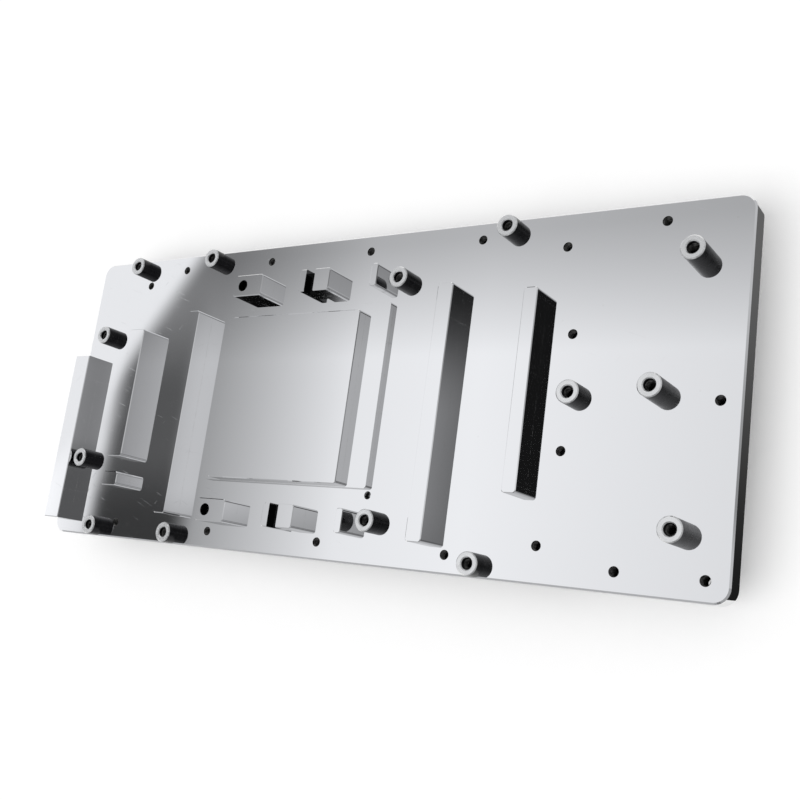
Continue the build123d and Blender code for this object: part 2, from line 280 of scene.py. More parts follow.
class EffectShelf:
    """Builds each shared effect once, as a node group with named inputs and outputs."""

    edge_span: tuple = (0.75, 0.995)
    patch_span: tuple = (0.3, 0.7)
    haze_span: tuple = (0.35, 0.7)
    line_level: float = 0.78
    line_level_drop: float = 0.2
    line_blend: float = 0.05
    ring_waves: float = 0.35
    arc_waves: float = 0.4
    speck_span: tuple = (0.03, 0.07)
    edge_samples: int = 4
    recess_samples: int = 24

    def __init__(self) -> None:
        """Start with no effect built."""
        self.made: dict[Effect, bpy.types.NodeTree] = {}
        self.makers = {
            Effect.EDGE_WEAR: self._edge_wear,
            Effect.POLISH_HAZE: self._polish_haze,
            Effect.HAIRLINES: self._hairlines,
            Effect.TURNED_RINGS: self._turned_rings,
            Effect.MILL_MARKS: self._mill_marks,
            Effect.SPECKS: self._specks,
            Effect.RECESS_SHADE: self._recess_shade,
        }

    def use(self, sketch: ShaderSketch, effect: Effect, **inputs: Source) -> Socket:
        """Place an effect in a tree with its own values.

        Args:
            sketch: The tree that gets the effect.
            effect: Which effect.
            inputs: Its inputs, with spaces written as underscores.

        Returns:
            The effect's output.
        """
        if effect not in self.made:
            self.made[effect] = self.makers[effect]()
        node = sketch.add("ShaderNodeGroup")
        node.node_tree = self.made[effect]
        for name, source in inputs.items():
            sketch.feed(node.inputs[name.replace("_", " ").title()], source)
        return node.outputs[0]

    def _start(self, effect: Effect, result: str, *inputs: str) -> tuple:
        """Make an empty group with its sockets.

        Args:
            effect: The effect that the group holds.
            result: Name of the group's output.
            inputs: Names of its inputs, which are numbers but for the centre.

        Returns:
            The group's sketch, its inputs and the socket of its output.
        """
        tree = bpy.data.node_groups.new(effect.value, "ShaderNodeTree")
        for name in inputs:
            kind = "NodeSocketVector" if name == "Centre" else "NodeSocketFloat"
            tree.interface.new_socket(name, in_out="INPUT", socket_type=kind)
        tree.interface.new_socket(result, in_out="OUTPUT", socket_type="NodeSocketFloat")
        sketch = ShaderSketch(tree)
        given = sketch.add("NodeGroupInput").outputs
        return sketch, given, sketch.add("NodeGroupOutput").inputs[0]

    def _edge_wear(self) -> bpy.types.NodeTree:
        """Mask that is 1 on edges and fades within a radius of them.

        Returns:
            The group's tree.
        """
        sketch, given, result = self._start(Effect.EDGE_WEAR, "Mask", "Radius", "Breakup")
        rounded = sketch.add("ShaderNodeBevel", samples=self.edge_samples)
        sketch.feed(rounded.inputs["Radius"], given["Radius"])
        product = sketch.add("ShaderNodeVectorMath", operation="DOT_PRODUCT")
        sketch.feed(product.inputs[0], rounded.outputs["Normal"])
        sketch.feed(product.inputs[1], sketch.add("ShaderNodeNewGeometry").outputs["Normal"])
        edge = sketch.step(product.outputs["Value"], *self.edge_span, 1.0, 0.0)
        patchy = sketch.step(sketch.noise(sketch.object_place(), given["Breakup"]), *self.patch_span)
        sketch.feed(result, sketch.calc("MULTIPLY", edge, patchy))
        return sketch.tree

    def _polish_haze(self) -> bpy.types.NodeTree:
        """Cloudy value from 0 to 1, for a polish that isn't the same all over.

        Returns:
            The group's tree.
        """
        sketch, given, result = self._start(Effect.POLISH_HAZE, "Value", "Size")
        scale = sketch.calc("DIVIDE", 1.0, given["Size"])
        broad = sketch.noise(sketch.object_place(), scale, 3.0)
        sketch.feed(result, sketch.step(broad, *self.haze_span))
        return sketch.tree

    def _hairlines(self) -> bpy.types.NodeTree:
        """Sparse fine scratches along one direction of the contact face.

        Returns:
            The group's tree.
        """
        inputs = ("Turn", "Spacing", "Length", "Amount")
        sketch, given, result = self._start(Effect.HAIRLINES, "Height", *inputs)
        turned = sketch.add("ShaderNodeVectorRotate", rotation_type="Z_AXIS")
        sketch.feed(turned.inputs["Vector"], sketch.object_place())
        sketch.feed(turned.inputs["Angle"], given["Turn"])
        x, y, z = sketch.parts(turned.outputs[0])
        long_way = sketch.calc("DIVIDE", x, given["Length"])
        cross_way = sketch.calc("DIVIDE", y, given["Spacing"])
        lines = sketch.noise(sketch.vector(long_way, cross_way, z), 1.0, 1.0)
        drop = sketch.calc("MULTIPLY", given["Amount"], self.line_level_drop)
        threshold = sketch.calc("SUBTRACT", self.line_level, drop)
        sketch.feed(result, sketch.step(lines, threshold, sketch.calc("ADD", threshold, self.line_blend)))
        return sketch.tree

    def _turned_rings(self) -> bpy.types.NodeTree:
        """Fine rings that a lathe leaves round an upright axis, on end faces and round the side.

        Returns:
            The group's tree.
        """
        sketch, given, result = self._start(Effect.TURNED_RINGS, "Height", "Centre", "Feed")
        offset = sketch.add("ShaderNodeVectorMath", operation="SUBTRACT")
        sketch.feed(offset.inputs[0], sketch.object_place())
        sketch.feed(offset.inputs[1], given["Centre"])
        x, y, z = sketch.parts(offset.outputs[0])
        radius = sketch.calc("SQRT", sketch.calc("MULTIPLY_ADD", x, x, sketch.calc("MULTIPLY", y, y)))
        travel = sketch.calc("DIVIDE", sketch.calc("ADD", radius, z), given["Feed"])
        groove = sketch.calc("ABSOLUTE", sketch.calc("SINE", sketch.calc("MULTIPLY", travel, math.pi)))
        uneven = sketch.noise(sketch.vector(travel, 0.0, 0.0), self.ring_waves, 1.0)
        sketch.feed(result, sketch.calc("MULTIPLY", groove, uneven))
        return sketch.tree

    def _mill_marks(self) -> bpy.types.NodeTree:
        """Arcs that a face mill leaves in passes along X.

        Returns:
            The group's tree.
        """
        inputs = ("Feed", "Cutter Radius", "Pass Width")
        sketch, given, result = self._start(Effect.MILL_MARKS, "Height", *inputs)
        x, y, _ = sketch.parts(sketch.object_place())
        half = sketch.calc("MULTIPLY", given["Pass Width"], 0.5)
        across = sketch.calc("WRAP", y, half, sketch.calc("MULTIPLY", half, -1.0))
        reach = sketch.calc(
            "SUBTRACT",
            sketch.calc("MULTIPLY", given["Cutter Radius"], given["Cutter Radius"]),
            sketch.calc("MULTIPLY", across, across),
        )
        arc = sketch.calc("ADD", x, sketch.calc("SQRT", sketch.calc("MAXIMUM", reach, 0.0)))
        travel = sketch.calc("DIVIDE", arc, given["Feed"])
        groove = sketch.calc("ABSOLUTE", sketch.calc("SINE", sketch.calc("MULTIPLY", travel, math.pi)))
        uneven = sketch.noise(sketch.vector(travel, 0.0, 0.0), self.arc_waves, 2.0)
        sketch.feed(result, sketch.calc("MULTIPLY", groove, uneven))
        return sketch.tree

    def _specks(self) -> bpy.types.NodeTree:
        """Mask of small scattered specks.

        Returns:
            The group's tree.
        """
        sketch, given, result = self._start(Effect.SPECKS, "Mask", "Spacing", "Share")
        cells = sketch.add("ShaderNodeTexVoronoi")
        sketch.feed(cells.inputs["Vector"], sketch.object_place())
        sketch.feed(cells.inputs["Scale"], sketch.calc("DIVIDE", 1.0, given["Spacing"]))
        spot = sketch.step(cells.outputs["Distance"], *self.speck_span, 1.0, 0.0)
        pick, _, _ = sketch.parts(cells.outputs["Color"])
        kept = sketch.calc("LESS_THAN", pick, given["Share"])
        sketch.feed(result, sketch.calc("MULTIPLY", spot, kept))
        return sketch.tree

    def _recess_shade(self) -> bpy.types.NodeTree:
        """Mask that is 1 deep in bores and slots, for the painted shade that falls there.

        Returns:
            The group's tree.
        """
        sketch, given, result = self._start(Effect.RECESS_SHADE, "Mask", "Reach", "Dark", "Clear")
        openness = sketch.add("ShaderNodeAmbientOcclusion", samples=self.recess_samples, only_local=True)
        sketch.feed(openness.inputs["Distance"], given["Reach"])
        sketch.feed(result, sketch.step(openness.outputs["AO"], given["Dark"], given["Clear"], 1.0, 0.0))
        return sketch.tree


@dataclass(frozen=True)
class Finish:
    """A finish that a material is made from."""

    name: str = "finish"
    roughness: float = 0.5
    metallic: float = 1.0

    def start(self) -> tuple:
        """Make an empty material.

        Returns:
            The material, its sketch and its Principled shader.
        """
        material = bpy.data.materials.new(self.name)
        material.use_nodes = True
        sketch = ShaderSketch(material.node_tree)
        shader = material.node_tree.nodes["Principled BSDF"]
        shader.inputs["Metallic"].default_value = self.metallic
        return material, sketch, shader

    def roughen(self, sketch: ShaderSketch, shader: bpy.types.Node, *marks: tuple) -> None:
        """Set the finish's roughness, which its marks add to.

        Args:
            sketch: The material's sketch.
            shader: Its Principled shader.
            marks: Masks, each with the roughness that it adds.
        """
        rough = self.roughness
        for mask, added in marks:
            rough = sketch.calc("MULTIPLY_ADD", mask, added, rough)
        sketch.feed(shader.inputs["Roughness"], rough)

    def raise_marks(
        self, sketch: ShaderSketch, shader: bpy.types.Node, marks: Source, depth: float
    ) -> None:
        """Let marks stand out of the surface.

        Args:
            sketch: The material's sketch.
            shader: Its Principled shader.
            marks: Height of the marks.
            depth: Metres for each 1 of that height.
        """
        bump = sketch.add("ShaderNodeBump")
        bump.inputs["Distance"].default_value = depth
        sketch.feed(bump.inputs["Height"], marks)
        sketch.feed(shader.inputs["Normal"], bump.outputs[0])


@dataclass(frozen=True)
class NickelPlating(Finish):
    """Bright nickel over polished copper: a mirror with faint haze, hairlines and worn edges, and painted
    shade in its bores and slots.
    """

    name: str = "nickel_plating"
    tint: tuple = (0.9, 0.9, 0.905, 1.0)
    worn_tint: tuple = (0.78, 0.77, 0.75, 1.0)
    # Near-black plating colour for painted shade deep in bores and slots
    painted_shade_tint: tuple = (0.035, 0.035, 0.036, 1.0)
    roughness: float = 0.03
    haze: float = 0.012
    hairline_haze: float = 0.08
    worn_haze: float = 0.12
    worn_share: float = 0.5
    speck_share: float = 0.25
    recess_reach: float = 0.006
    recess_openness: tuple = (0.2, 0.4)
    hairline_depth: float = 0.0000008
    wave_size: float = 0.03
    wave_depth: float = 0.000004
    slot_middle: float = -0.01505
    slot_half_width: float = 0.00197
    slot_levels: tuple = (0.0186, 0.02262)
    slot_rows_beyond: float = 0.034
    slot_shade: float = 0.9

    def painted_slot_shade(self, sketch: ShaderSketch) -> Socket:
        """Mask of the two relief slots, painted dark as the shade deep in them.

        Args:
            sketch: The material's sketch.

        Returns:
            The mask, which is 0 outside the slots.
        """
        x, y, z = sketch.parts(sketch.object_place())
        off_middle = sketch.calc("ABSOLUTE", sketch.calc("SUBTRACT", x, self.slot_middle))
        bottom, top = self.slot_levels
        inside = self.slot_shade
        for test, value, level in (
            ("LESS_THAN", off_middle, self.slot_half_width),
            ("GREATER_THAN", z, bottom),
            ("LESS_THAN", z, top),
            ("GREATER_THAN", sketch.calc("ABSOLUTE", y), self.slot_rows_beyond),
        ):
            inside = sketch.calc("MULTIPLY", inside, sketch.calc(test, value, level))
        return inside

    def material(self, shelf: EffectShelf) -> bpy.types.Material:
        """Build the plating's material.

        Args:
            shelf: The shared effects.

        Returns:
            The finished material.
        """
        material, sketch, shader = self.start()
        worn = shelf.use(sketch, Effect.EDGE_WEAR, radius=0.0003, breakup=700.0)
        haze = shelf.use(sketch, Effect.POLISH_HAZE, size=0.018)
        first = shelf.use(sketch, Effect.HAIRLINES, turn=0.35, spacing=0.0005, length=0.014, amount=0.3)
        second = shelf.use(sketch, Effect.HAIRLINES, turn=-0.9, spacing=0.0007, length=0.009, amount=0.15)
        lines = sketch.calc("MAXIMUM", first, second)
        specks = shelf.use(sketch, Effect.SPECKS, spacing=0.006, share=0.25)
        colour = sketch.mix_colour(sketch.calc("MULTIPLY", worn, self.worn_share), self.tint, self.worn_tint)
        colour = sketch.mix_colour(sketch.calc("MULTIPLY", specks, self.speck_share), colour, self.worn_tint)
        dark, clear = self.recess_openness
        # Painted shade: bores, slots and the two relief slots turn near black
        painted_recess_shade = shelf.use(sketch, Effect.RECESS_SHADE, reach=self.recess_reach, dark=dark, clear=clear)
        painted_shade_mask = sketch.calc("MAXIMUM", painted_recess_shade, self.painted_slot_shade(sketch))
        sketch.feed(shader.inputs["Base Color"], sketch.mix_colour(painted_shade_mask, colour, self.painted_shade_tint))
        marks = (haze, self.haze), (lines, self.hairline_haze), (worn, self.worn_haze)
        self.roughen(sketch, shader, *marks)
        waves = sketch.noise(sketch.object_place(), 1.0 / self.wave_size, 1.0)
        height = sketch.calc(
            "ADD",
            sketch.calc("MULTIPLY", waves, self.wave_depth),
            sketch.calc("MULTIPLY", lines, -self.hairline_depth),
        )
        self.raise_marks(sketch, shader, height, 1.0)
        return material


@dataclass(frozen=True)
class TurnedStandoff(Finish):
    """Turned standoff, blackened all over and then faced bright at its end, with painted shade in its bore.
    """

    name: str = "turned_standoff"
    centre: tuple = (0.0, 0.0, 0.0)
    end_level: float = 0.021
    faced_depth: float = 0.0003
    black_tint: tuple = (0.022, 0.022, 0.024, 1.0)
    rubbed_tint: tuple = (0.12, 0.117, 0.114, 1.0)
    faced_tint: tuple = (0.9, 0.9, 0.895, 1.0)
    # Near-black colour for painted shade deep in the bore
    painted_bore_shade_tint: tuple = (0.02, 0.02, 0.02, 1.0)
    roughness: float = 0.2
    ring_haze: float = 0.1
    patch_haze: float = 0.08
    patch_rubbed: float = 0.1
    feed: float = 0.00009
    ring_depth: float = 0.0000025
    edge_blend: float = 0.00002

    def material(self, shelf: EffectShelf) -> bpy.types.Material:
        """Build the standoff's material.

        Args:
            shelf: The shared effects.

        Returns:
            The finished material.
        """
        material, sketch, shader = self.start()
        rings = shelf.use(sketch, Effect.TURNED_RINGS, centre=self.centre, feed=self.feed)
        worn = shelf.use(sketch, Effect.EDGE_WEAR, radius=0.0002, breakup=1500.0)
        haze = shelf.use(sketch, Effect.POLISH_HAZE, size=0.003)
        # Painted shade: the bore turns near black where little around it is open
        bore = shelf.use(sketch, Effect.RECESS_SHADE, reach=0.002, dark=0.15, clear=0.4)
        _, _, height = sketch.parts(sketch.object_place())
        faced_from = self.end_level - self.faced_depth
        faced = sketch.step(height, faced_from - self.edge_blend, faced_from + self.edge_blend)
        rubbed = sketch.calc("MAXIMUM", sketch.calc("MULTIPLY", haze, self.patch_rubbed), worn)
        side = sketch.mix_colour(rubbed, self.black_tint, self.rubbed_tint)
        colour = sketch.mix_colour(faced, side, self.faced_tint)
        sketch.feed(shader.inputs["Base Color"], sketch.mix_colour(bore, colour, self.painted_bore_shade_tint))
        self.roughen(sketch, shader, (rings, self.ring_haze), (haze, self.patch_haze))
        self.raise_marks(sketch, shader, rings, self.ring_depth)
        return material


@dataclass(frozen=True)
class MilledAcetal(Finish):
    """Black acetal with the arcs of a face mill and rubbed edges."""

    name: str = "milled_acetal"
    tint: tuple = (0.018, 0.018, 0.02, 1.0)
    rubbed_tint: tuple = (0.055, 0.055, 0.058, 1.0)
    roughness: float = 0.36
    metallic: float = 0.0
    mark_haze: float = 0.16
    patch_haze: float = 0.08
    specular_level: float = 0.45
    mark_share: float = 0.35
    worn_share: float = 0.8
    speck_share: float = 0.6
    mark_depth: float = 0.000012

    def material(self, shelf: EffectShelf) -> bpy.types.Material:
        """Build the acetal's material.

        Args:
            shelf: The shared effects.

        Returns:
            The finished material.
        """
        material, sketch, shader = self.start()
        marks = shelf.use(sketch, Effect.MILL_MARKS, feed=0.0007, cutter_radius=0.026, pass_width=0.0357)
        worn = shelf.use(sketch, Effect.EDGE_WEAR, radius=0.0005, breakup=600.0)
        haze = shelf.use(sketch, Effect.POLISH_HAZE, size=0.03)
        specks = shelf.use(sketch, Effect.SPECKS, spacing=0.005, share=0.3)
        colour = self.tint
        for mask, share in ((marks, self.mark_share), (worn, self.worn_share), (specks, self.speck_share)):
            colour = sketch.mix_colour(sketch.calc("MULTIPLY", mask, share), colour, self.rubbed_tint)
        sketch.feed(shader.inputs["Base Color"], colour)
        self.roughen(sketch, shader, (marks, self.mark_haze), (haze, self.patch_haze))
        shader.inputs["Specular IOR Level"].default_value = self.specular_level
        self.raise_marks(sketch, shader, marks, self.mark_depth)
        return material


@dataclass(frozen=True)
class CordRubber(Finish):
    """Matt black seal cord with a light bloom."""

    name: str = "cord_rubber"
    tint: tuple = (0.014, 0.014, 0.014, 1.0)
    bloom_tint: tuple = (0.06, 0.06, 0.058, 1.0)
    roughness: float = 0.62
    metallic: float = 0.0
    bloom_haze: float = 0.15
    bloom_share: float = 0.4
    grain_waves: float = 4000.0
    grain_depth: float = 0.00001

    def material(self, shelf: EffectShelf) -> bpy.types.Material:
        """Build the rubber's material.

        Args:
            shelf: The shared effects.

        Returns:
            The finished material.
        """
        material, sketch, shader = self.start()
        bloom = shelf.use(sketch, Effect.POLISH_HAZE, size=0.006)
        bloomed = sketch.calc("MULTIPLY", bloom, self.bloom_share)
        sketch.feed(shader.inputs["Base Color"], sketch.mix_colour(bloomed, self.tint, self.bloom_tint))
        self.roughen(sketch, shader, (bloom, self.bloom_haze))
        grain = sketch.noise(sketch.object_place(), self.grain_waves)
        self.raise_marks(sketch, shader, grain, self.grain_depth)
        return material


@dataclass(frozen=True)
class RolledSheet(Finish):
    """Stainless sheet with the long grain of rolling."""

    name: str = "rolled_sheet"
    tint: tuple = (0.62, 0.61, 0.6, 1.0)
    dark_tint: tuple = (0.5, 0.49, 0.48, 1.0)
    roughness: float = 0.24
    grain_haze: float = 0.15
    grain_depth: float = 0.000002

    def material(self, shelf: EffectShelf) -> bpy.types.Material:
        """Build the sheet's material.

        Args:
            shelf: The shared effects.

        Returns:
            The finished material.
        """
        material, sketch, shader = self.start()
        grain = shelf.use(sketch, Effect.HAIRLINES, turn=0.0, spacing=0.00012, length=0.02, amount=0.9)
        haze = shelf.use(sketch, Effect.POLISH_HAZE, size=0.01)
        sketch.feed(shader.inputs["Base Color"], sketch.mix_colour(haze, self.tint, self.dark_tint))
        self.roughen(sketch, shader, (grain, self.grain_haze))
        self.raise_marks(sketch, shader, grain, self.grain_depth)
        return material


@dataclass(frozen=True)
class BlackOxide(Finish):
    """Oiled black oxide on steel, rubbed brown-grey on its edges."""

    name: str = "black_oxide"
    tint: tuple = (0.03, 0.03, 0.034, 1.0)
    rubbed_tint: tuple = (0.2, 0.19, 0.18, 1.0)
    roughness: float = 0.34
    metallic: float = 0.9
    patch_haze: float = 0.2
    worn_share: float = 0.7
    grain_waves: float = 9000.0
    grain_depth: float = 0.000004

    def material(self, shelf: EffectShelf) -> bpy.types.Material:
        """Build the oxide's material.

        Args:
            shelf: The shared effects.

        Returns:
            The finished material.
        """
        material, sketch, shader = self.start()
        worn = shelf.use(sketch, Effect.EDGE_WEAR, radius=0.0002, breakup=2500.0)
        haze = shelf.use(sketch, Effect.POLISH_HAZE, size=0.0025)
        rubbed = sketch.calc("MULTIPLY", worn, self.worn_share)
        sketch.feed(shader.inputs["Base Color"], sketch.mix_colour(rubbed, self.tint, self.rubbed_tint))
        self.roughen(sketch, shader, (haze, self.patch_haze))
        grain = sketch.noise(sketch.object_place(), self.grain_waves)
        self.raise_marks(sketch, shader, grain, self.grain_depth)
        return material


@dataclass(frozen=True)
class ThreadCut(Finish):
    """Cut thread, dark all over as painted shade of the deep bores that it lines."""

    name: str = "thread_cut"
    # Both tints are dark for painted shade of the bores that the thread lines
    tint: tuple = (0.13, 0.127, 0.123, 1.0)
    dark_tint: tuple = (0.02, 0.02, 0.019, 1.0)
    roughness: float = 0.3
    patch_haze: float = 0.15

    def material(self, shelf: EffectShelf) -> bpy.types.Material:
        """Build the thread's material.

        Args:
            shelf: The shared effects.

        Returns:
            The finished material.
        """
        material, sketch, shader = self.start()
        haze = shelf.use(sketch, Effect.POLISH_HAZE, size=0.0008)
        worn = shelf.use(sketch, Effect.EDGE_WEAR, radius=0.0001, breakup=3000.0)
        shaded = sketch.mix_colour(haze, self.tint, self.dark_tint)
        sketch.feed(shader.inputs["Base Color"], sketch.mix_colour(worn, shaded, self.tint))
        self.roughen(sketch, shader, (haze, self.patch_haze))
        return material


@dataclass
class ThreadRidge:
    """Ridge of an internal thread, modelled once and copied into every bore of its kind."""

    bore_radius: float = 0.0015
    length: float = 0.0034
    pitch: float = 0.0005
    height: float = 0.00027
    root: float = 0.00002
    base_share: float = 0.8
    weld_share: float = 0.1
    smooth_degrees: float = 40.0
    facets: int = 24
    made: bpy.types.Object | None = None

    def model(self, name: str) -> None:
        """Wind one ridge upwards from the origin, about the upright axis.

        Args:
            name: Name of the first piece.
        """
        bpy.ops.object.select_all(action="DESELECT")
        tip_inwards = (math.radians(90.0), math.radians(-90.0), 0.0)
        bpy.ops.mesh.primitive_circle_add(vertices=3, radius=1.0, fill_type="NOTHING", rotation=tip_inwards)
        ridge = bpy.context.active_object
        ridge.name = name
        bpy.ops.object.transform_apply(location=True, rotation=True, scale=True)
        full_height = self.height + self.root
        base_width = self.base_share * self.pitch
        bpy.ops.object.mode_set(mode="EDIT")
        bpy.ops.mesh.select_all(action="SELECT")
        # A triangle in a circle of radius 1 is 1.5 high, on a base of root 3
        drawn_height, drawn_base = 1.5, math.sqrt(3.0)
        section = (full_height / drawn_height, 1.0, base_width / drawn_base)
        bpy.ops.transform.resize(value=section, center_override=(0.0, 0.0, 0.0))
        inwards = self.bore_radius + self.root - full_height / 3.0
        bpy.ops.transform.translate(value=(inwards, 0.0, base_width / 2.0))
        bpy.ops.object.mode_set(mode="OBJECT")
        winding = ridge.modifiers.new("winding", "SCREW")
        winding.axis = "Z"
        winding.angle = math.radians(360.0)
        winding.screw_offset = self.pitch
        winding.iterations = max(1, int((self.length - base_width) / self.pitch))
        winding.steps = self.facets
        winding.render_steps = self.facets
        winding.use_smooth_shade = False
        select_only(ridge)
        bpy.ops.object.modifier_apply(modifier=winding.name)
        bpy.ops.object.mode_set(mode="EDIT")
        bpy.ops.mesh.select_all(action="SELECT")
        bpy.ops.mesh.remove_doubles(threshold=self.root * self.weld_share)
        bpy.ops.mesh.fill_holes(sides=3)
        bpy.ops.mesh.select_all(action="SELECT")
        bpy.ops.mesh.normals_make_consistent(inside=False)
        bpy.ops.object.mode_set(mode="OBJECT")
        bpy.ops.object.shade_smooth_by_angle(angle=math.radians(self.smooth_degrees))
        self.made = ridge

    def fit(self, names: list[str], places: list[tuple], material: bpy.types.Material, slot: str) -> None:
        """Put the ridge into each bore, and dress it there.

        Args:
            names: Name of each piece.
            places: Bottom end of each thread.
            material: The thread's material.
            slot: The record's material slot of the metal around it, which is not used.
        """
        self.model(names[0])
        dress(self.made, material)
        ridges = [self.made]
        for name in names[1:]:
            select_only(self.made)
            bpy.ops.object.duplicate(linked=False)
            copy = bpy.context.active_object
            copy.name = name
            ridges.append(copy)
        for ridge, place in zip(ridges, places):
            select_only(ridge)
            bpy.ops.transform.translate(value=place)
            bpy.ops.object.transform_apply(location=True, rotation=True, scale=True)
            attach(ridge, "root")


@dataclass
class Plate:
    """The metal plate and the parts of the wet side that its cover hides."""

    plating: NickelPlating = field(default_factory=NickelPlating)
    sheet: RolledSheet = field(default_factory=RolledSheet)
    rubber: CordRubber = field(default_factory=CordRubber)
    back_level: float = 0.009
    face_level: float = 0.0162
    thread_end_gap: float = 0.0001
    tail_holes: tuple = ((0.1075, 0.0493), (0.101, -0.0493), (0.1255, -0.0493), (0.126, -0.0025))

    def dress_nodes(self, shelf: EffectShelf) -> None:
        """Dress the plate, the jet plate and the seal.

        Args:
            shelf: The shared effects.
        """
        dress(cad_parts["base_plate"], self.plating.material(shelf))
        dress(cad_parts["jet_plate"], self.sheet.material(shelf))
        dress(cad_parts["cover_seal"], self.rubber.material(shelf))
        log.info("plate, jet plate and seal dressed")

    def thread_holes(self, thread: bpy.types.Material) -> None:
        """Cut the threads of the open holes in the tail, and of the screw holes over the screws' tips.

        Args:
            thread: The thread's material.
        """
        low = self.back_level + self.thread_end_gap
        length = self.face_level - low - self.thread_end_gap
        tail = ThreadRidge(length=length)
        names = [f"tail_thread_{number}" for number in range(1, len(self.tail_holes) + 1)]
        tail.fit(names, [(x, y, low) for x, y in self.tail_holes], thread, "nickel_plated_copper")
        screws = [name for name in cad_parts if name.startswith("cover_screw")]
        screws = [name for name in screws if "front_inner" not in name]
        places = []
        for screw in screws:
            lowest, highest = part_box(screw)
            tip = highest[2] + self.thread_end_gap
            places.append(((lowest[0] + highest[0]) / 2, (lowest[1] + highest[1]) / 2, tip))
        shown = self.face_level - places[0][2] - self.thread_end_gap
        names = [screw.replace("cover_screw", "screw_hole_thread") for screw in screws]
        ThreadRidge(length=shown).fit(names, places, thread, "nickel_plated_copper")
        log.info("%d holes of the plate threaded", len(self.tail_holes) + len(screws))


@dataclass
class Cover:
    """The back cover and its screws."""

    acetal: MilledAcetal = field(default_factory=MilledAcetal)
    oxide: BlackOxide = field(default_factory=BlackOxide)
    ports: tuple = ((-0.077075, -0.0018), (0.05715, -0.0018))
    port_thread_start: float = 0.0012
    port_thread: ThreadRidge = field(
        default_factory=lambda: ThreadRidge(
            bore_radius=0.0059, length=0.0075, pitch=0.001337, height=0.0004, root=0.00005, facets=48
        )
    )

    def dress_nodes(self, shelf: EffectShelf) -> None:
        """Dress the cover and its screws.

        Args:
            shelf: The shared effects.
        """
        dress(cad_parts["back_cover"], self.acetal.material(shelf))
        oxide = self.oxide.material(shelf)
        screws = [node for name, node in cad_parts.items() if name.startswith("cover_screw")]
        for screw in screws:
            dress(screw, oxide)
        log.info("cover and %d screws dressed", len(screws))

    def thread_ports(self, material: bpy.types.Material) -> None:
        """Cut the threads of the two coolant ports.

        Args:
            material: The thread's material.
        """
        places = [(x, y, self.port_thread_start) for x, y in self.ports]
        self.port_thread.fit(["inlet_thread", "outlet_thread"], places, material, "black_acetal")
        log.info("ports threaded")


@dataclass
class Standoffs:
    """The turned standoffs, each with rings about its own axis."""

    bore_floor: float = 0.01705
    mouth_depth: float = 0.0006
    levels_per_metre: float = 1e5

    def dress_nodes(self, shelf: EffectShelf) -> None:
        """Dress each standoff with a material centred on it.

        Args:
            shelf: The shared effects.
        """
        names = [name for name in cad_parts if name.startswith("standoff")]
        for name in names:
            low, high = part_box(name)
            centre = ((low[0] + high[0]) / 2, (low[1] + high[1]) / 2, 0.0)
            finish = TurnedStandoff(name=f"turned_{name}", centre=centre, end_level=high[2])
            dress(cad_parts[name], finish.material(shelf))
        log.info("%d standoffs dressed", len(names))

    def thread_bores(self, thread: bpy.types.Material) -> None:
        """Cut the thread in the bore of each standoff.

        Args:
            thread: The thread's material.
        """
        by_height: dict[int, list[tuple]] = {}
        for name in [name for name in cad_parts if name.startswith("standoff")]:
            low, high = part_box(name)
            place = ((low[0] + high[0]) / 2, (low[1] + high[1]) / 2, self.bore_floor)
            bore = (name.replace("standoff", "bore_thread"), place)
            by_height.setdefault(round(high[2] * self.levels_per_metre), []).append(bore)
        for level, bores in by_height.items():
            length = level / self.levels_per_metre - self.mouth_depth - self.bore_floor
            names, places = [name for name, _ in bores], [place for _, place in bores]
            ThreadRidge(length=length).fit(names, places, thread, "standoff_metal")
        log.info("standoff bores threaded")


@dataclass(frozen=True)
class SoftCard:
    """A soft-edged card in the studio, as polished metal sees it.

    Places are slopes of the view: metres along X and across Y for each metre up. Tones are greys from
    0 to 255 as they come out in the picture.
    """

    name: str
    centre: tuple[float, float]
    half: tuple[float, float]
    soft: tuple[float, float]
    tone: float
    turn_degrees: float = 0.0

    def lay(self, sketch: ShaderSketch, under: Source, along: Source, across: Source) -> Source:
        """Lay the card over the tones laid before it.

        Args:
            sketch: The world's sketch.
            under: The tone laid before.
            along: Slope of the view along X.
            across: Slope of the view across Y.

        Returns:
            The tone with the card in it.
        """
        turn = math.radians(self.turn_degrees)
        from_along = sketch.calc("SUBTRACT", along, self.centre[0])
        from_across = sketch.calc("SUBTRACT", across, self.centre[1])
        masks = []
        for half, soft, (share_along, share_across) in (
            (self.half[0], self.soft[0], (math.cos(turn), math.sin(turn))),
            (self.half[1], self.soft[1], (-math.sin(turn), math.cos(turn))),
        ):
            part = sketch.calc("MULTIPLY", from_across, share_across)
            off_centre = sketch.calc("ABSOLUTE", sketch.calc("MULTIPLY_ADD", from_along, share_along, part))
            masks.append(sketch.step(off_centre, half - soft, half + soft, 1.0, 0.0))
        laid = sketch.mix(sketch.calc("MULTIPLY", *masks), under, self.tone)
        laid.node.label = self.name
        return laid


